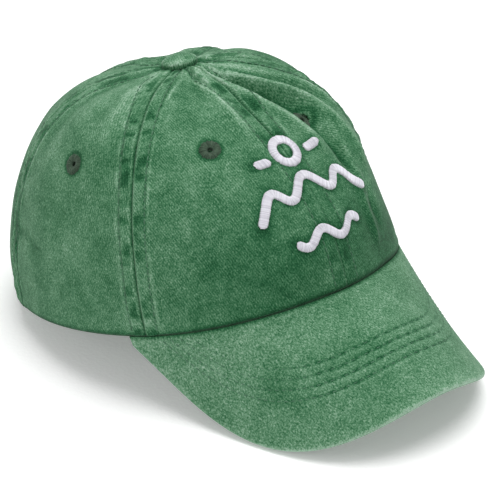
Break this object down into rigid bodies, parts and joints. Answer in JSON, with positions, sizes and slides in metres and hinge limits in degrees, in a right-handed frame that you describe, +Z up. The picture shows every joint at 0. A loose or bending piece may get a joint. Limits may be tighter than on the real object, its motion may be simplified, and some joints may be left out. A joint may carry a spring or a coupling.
{
  "type": "baseball cap",
  "caption": "Six-panel unstructured washed cotton baseball cap with curved brim, sewn eyelets, top button, raised embroidery and an adjustable strap with lever buckle at the back.",
  "frame": {"origin": "centre of the footprint, on the surface the cap rests on", "axes": "+Z up, the brim points along -Y, the wearer's right side is -X; the cap stands tipped back as it rests on the brim's side edges and the crown's back edge"},
  "size_m": [0.163, 0.2597, 0.1236],
  "materials": {
    "crown_twill": "washed cotton twill, matt",
    "brim_twill": "washed cotton twill, paler",
    "seam_tape": "woven cotton tape",
    "sweatband_twill": "folded cotton twill",
    "eyelet_thread": "matt embroidery thread",
    "satin_thread": "bright satin embroidery thread",
    "brim_board": "moulded board",
    "antique_brass": "brushed, darkened in the hollows",
    "button_metal": "pressed shell"
  },
  "bodies": {
    "cap": {"front_right_panel": "crown_twill", "front_left_panel": "crown_twill", "side_right_panel": "crown_twill", "side_left_panel": "crown_twill", "back_right_panel": "crown_twill", "back_left_panel": "crown_twill", "eyelet_front_right": "eyelet_thread", "eyelet_front_left": "eyelet_thread", "eyelet_side_right": "eyelet_thread", "eyelet_side_left": "eyelet_thread", "eyelet_back_right": "eyelet_thread", "eyelet_back_left": "eyelet_thread", "tape_front": "seam_tape", "tape_front_right": "seam_tape", "tape_front_left": "seam_tape", "tape_back_right": "seam_tape", "tape_back_left": "seam_tape", "tape_back": "seam_tape", "sweatband": "sweatband_twill", "button_cover": "crown_twill", "button_shell": "button_metal", "button_rivet": "button_metal", "brim_top_cover": "brim_twill", "brim_board": "brim_board", "brim_turned_edge": "brim_twill", "brim_under_cover": "brim_twill", "arch_binding": "crown_twill", "buckle_tab": "crown_twill", "buckle_frame": "antique_brass", "buckle_pin": "antique_brass", "embroidery_upper": "satin_thread", "embroidery_middle": "satin_thread", "embroidery_lower": "satin_thread"},
    "strap": {"strap": "crown_twill"},
    "lever": {"buckle_lever": "antique_brass"}
  },
  "joints": [
    {"name": "strap_adjust", "type": "hinge", "parent": "cap", "child": "strap", "pos_m": [0, 0.05608, 0.01527], "axis": [0, 0.245, 0.9695], "range_deg": [-5, 15]},
    {"name": "lever_hinge", "type": "hinge", "parent": "cap", "child": "lever", "pos_m": [-0.00896, 0.1266, 0.01421], "axis": [-0.0207, -0.1494, -0.9886], "range_deg": [0, 100]}
  ]
}
